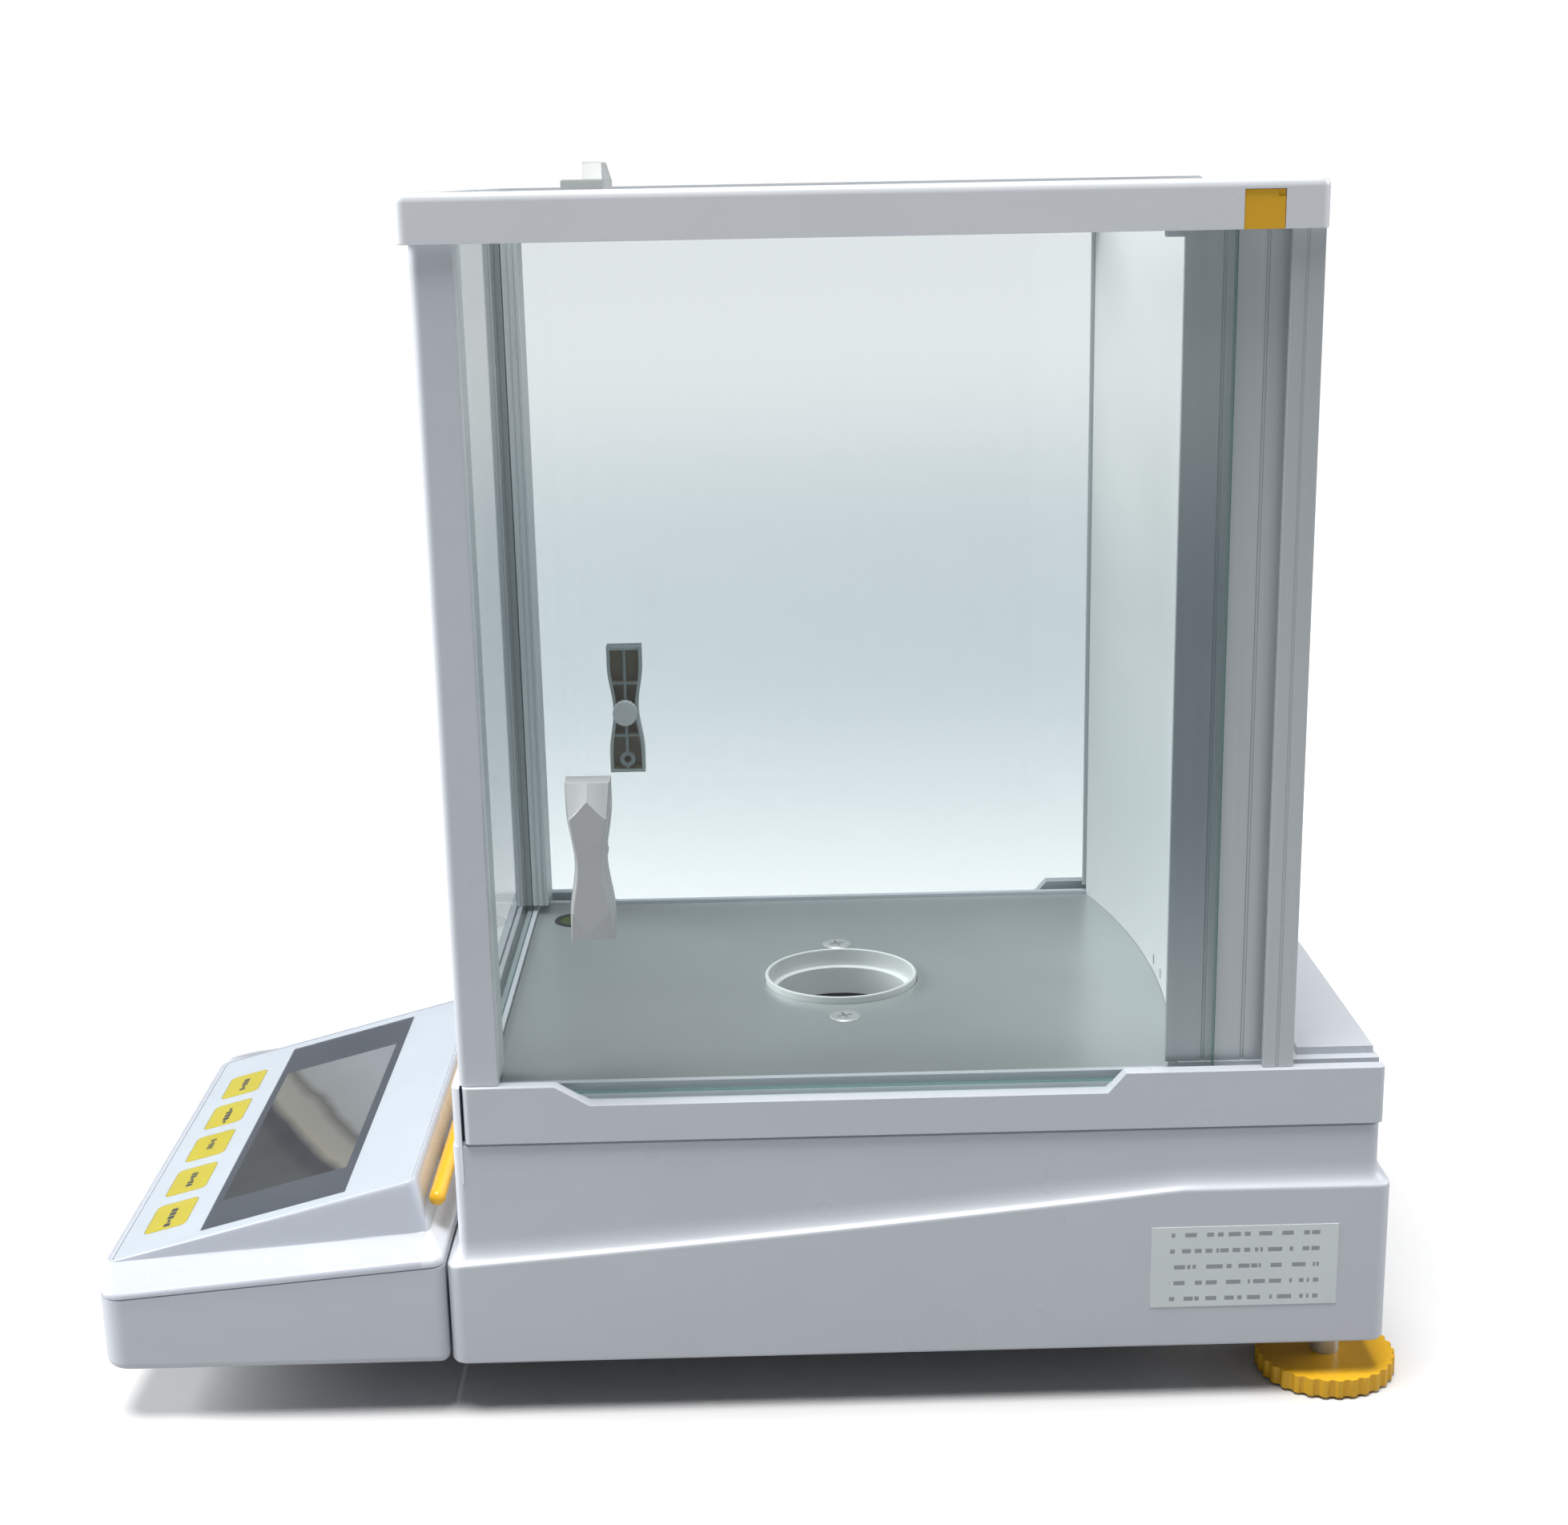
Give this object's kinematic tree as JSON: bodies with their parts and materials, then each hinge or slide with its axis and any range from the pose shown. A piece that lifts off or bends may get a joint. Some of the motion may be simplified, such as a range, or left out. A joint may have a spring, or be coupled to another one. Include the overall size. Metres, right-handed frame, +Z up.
{
  "type": "analytical balance",
  "caption": "Analytical balance with a glass draft shield of sliding doors, a sloping keypad with a display, a draft ring over the pan support and levelling wheels behind.",
  "frame": {"origin": "on the table under the middle of the whole balance", "axes": "+X to the user's right, +Y from the keypad to the rear, +Z up"},
  "size_m": [0.2014, 0.3725, 0.3437],
  "materials": {
    "shell_plastic": "fine matte texture",
    "gloss_plastic": "smooth gloss",
    "clear_plastic": "clear formed sheet",
    "white_plastic": "smooth satin",
    "amber_plastic": "smooth gloss",
    "key_film": "printed film",
    "panel_film": "silvery film",
    "window_film": "tinted film",
    "lcd_glass": "greenish grey display",
    "door_glass": "clear float glass with polished edges",
    "vial_glass": "clear vial",
    "anodised_aluminium": "satin anodised",
    "cell_aluminium": "machined",
    "floor_steel": "satin",
    "sheet_steel": "zinc plated",
    "screw_steel": "bright zinc",
    "rear_panel": "off-white satin paint",
    "black_rubber": "matte",
    "black_plastic": "matte",
    "magnet_iron": "black oxide",
    "coil_copper": "enamelled wire",
    "brass": "turned",
    "circuit_board": "solder mask",
    "label_paper": "blank matt sticker"
  },
  "bodies": {
    "balance": {"base_casing": "shell_plastic", "bottom_plate": "sheet_steel", "bottom_screws": "screw_steel", "deck_frame": "shell_plastic", "floor_plate": "floor_steel", "draft_ring": "white_plastic", "floor_screws": "screw_steel", "level_housing": "black_plastic", "level_vial": "vial_glass", "cell_frame": "cell_aluminium", "cell_pivot_pin": "screw_steel", "cell_magnet": "magnet_iron", "guide_plates": "sheet_steel", "main_board": "circuit_board", "board_standoffs": "brass", "power_socket": "black_plastic", "data_socket": "screw_steel", "front_feet": "black_rubber", "keypad_base": "shell_plastic", "keypad_cover": "gloss_plastic", "front_panel": "panel_film", "display_window": "window_film", "lcd_module": "lcd_glass", "keypad_board": "circuit_board", "trim_rod": "amber_plastic", "front_posts": "anodised_aluminium", "front_caps": "shell_plastic", "front_glass": "door_glass", "rear_posts": "anodised_aluminium", "rear_trims": "anodised_aluminium", "rear_wall": "rear_panel", "rear_cover": "rear_panel", "rear_screws": "screw_steel", "top_frame": "shell_plastic", "frame_plugs": "amber_plastic", "rating_label": "label_paper"},
    "left_door": {"side_door_left": "door_glass", "handle_left": "white_plastic", "handle_nut_left": "white_plastic"},
    "right_door": {"side_door_right": "door_glass", "handle_right": "white_plastic", "handle_nut_right": "white_plastic"},
    "top_door": {"top_door": "door_glass", "handle_top": "white_plastic", "handle_nut_top": "white_plastic"},
    "left_foot_pad": {"level_pad_left": "black_rubber"},
    "right_foot_pad": {"level_pad_right": "black_rubber"},
    "left_foot_wheel": {"level_wheel_left": "amber_plastic", "level_stud_left": "screw_steel"},
    "right_foot_wheel": {"level_wheel_right": "amber_plastic", "level_stud_right": "screw_steel"},
    "protective_cover": {"clear_cover": "clear_plastic"},
    "pan_support": {"pan_carrier": "cell_aluminium"},
    "weighing_lever": {"cell_lever": "cell_aluminium", "cell_coil": "coil_copper"},
    "key_cap_1": {"key_1": "key_film"},
    "key_cap_2": {"key_2": "key_film"},
    "key_cap_3": {"key_3": "key_film"},
    "key_cap_4": {"key_4": "key_film"},
    "key_cap_5": {"key_5": "key_film"}
  },
  "joints": [
    {"name": "left_door_slide", "type": "slide", "parent": "balance", "child": "left_door", "axis": [0, 1, 0], "range_m": [0, 0.15]},
    {"name": "right_door_slide", "type": "slide", "parent": "balance", "child": "right_door", "axis": [0, 1, 0], "range_m": [0, 0.15]},
    {"name": "top_door_slide", "type": "slide", "parent": "balance", "child": "top_door", "axis": [0, 1, 0], "range_m": [0, 0.15]},
    {"name": "key_1_press", "type": "slide", "parent": "balance", "child": "key_cap_1", "axis": [0, 0.2538, -0.9673], "range_m": [0, 0.0004], "stiffness_N_per_m": 1500},
    {"name": "key_2_press", "type": "slide", "parent": "balance", "child": "key_cap_2", "axis": [0, 0.2538, -0.9673], "range_m": [0, 0.0004], "stiffness_N_per_m": 1500},
    {"name": "key_3_press", "type": "slide", "parent": "balance", "child": "key_cap_3", "axis": [0, 0.2538, -0.9673], "range_m": [0, 0.0004], "stiffness_N_per_m": 1500},
    {"name": "key_4_press", "type": "slide", "parent": "balance", "child": "key_cap_4", "axis": [0, 0.2538, -0.9673], "range_m": [0, 0.0004], "stiffness_N_per_m": 1500},
    {"name": "key_5_press", "type": "slide", "parent": "balance", "child": "key_cap_5", "axis": [0, 0.2538, -0.9673], "range_m": [0, 0.0004], "stiffness_N_per_m": 1500},
    {"name": "left_foot_lift", "type": "slide", "parent": "balance", "child": "left_foot_pad", "axis": [0, 0, 1], "range_m": [-0.0025, 0.0025]},
    {"name": "left_foot_turn", "type": "hinge", "parent": "left_foot_pad", "child": "left_foot_wheel", "pos_m": [-0.079, 0.166, 0.003], "axis": [0, 0, 1], "range_deg": [-720.5, 720.5]},
    {"name": "right_foot_lift", "type": "slide", "parent": "balance", "child": "right_foot_pad", "axis": [0, 0, 1], "range_m": [-0.0025, 0.0025]},
    {"name": "right_foot_turn", "type": "hinge", "parent": "right_foot_pad", "child": "right_foot_wheel", "pos_m": [0.079, 0.166, 0.003], "axis": [0, 0, 1], "range_deg": [-720.5, 720.5]},
    {"name": "cover_lift", "type": "slide", "parent": "balance", "child": "protective_cover", "axis": [0, 0, 1], "range_m": [0, 0.06]},
    {"name": "pan_load", "type": "slide", "parent": "balance", "child": "pan_support", "axis": [0, 0, 1], "range_m": [-0.0003, 0], "stiffness_N_per_m": 4000},
    {"name": "lever_tilt", "type": "hinge", "parent": "balance", "child": "weighing_lever", "pos_m": [0, 0.0587, 0.053], "axis": [1, 0, 0], "range_deg": [0, 0.6]}
  ],
  "couplings": [
    {"joint": "left_foot_turn", "follows": "left_foot_lift", "rad_per_m": 5026.6},
    {"joint": "right_foot_turn", "follows": "right_foot_lift", "rad_per_m": 5026.6},
    {"joint": "lever_tilt", "follows": "pan_load", "rad_per_m": -33.333}
  ]
}
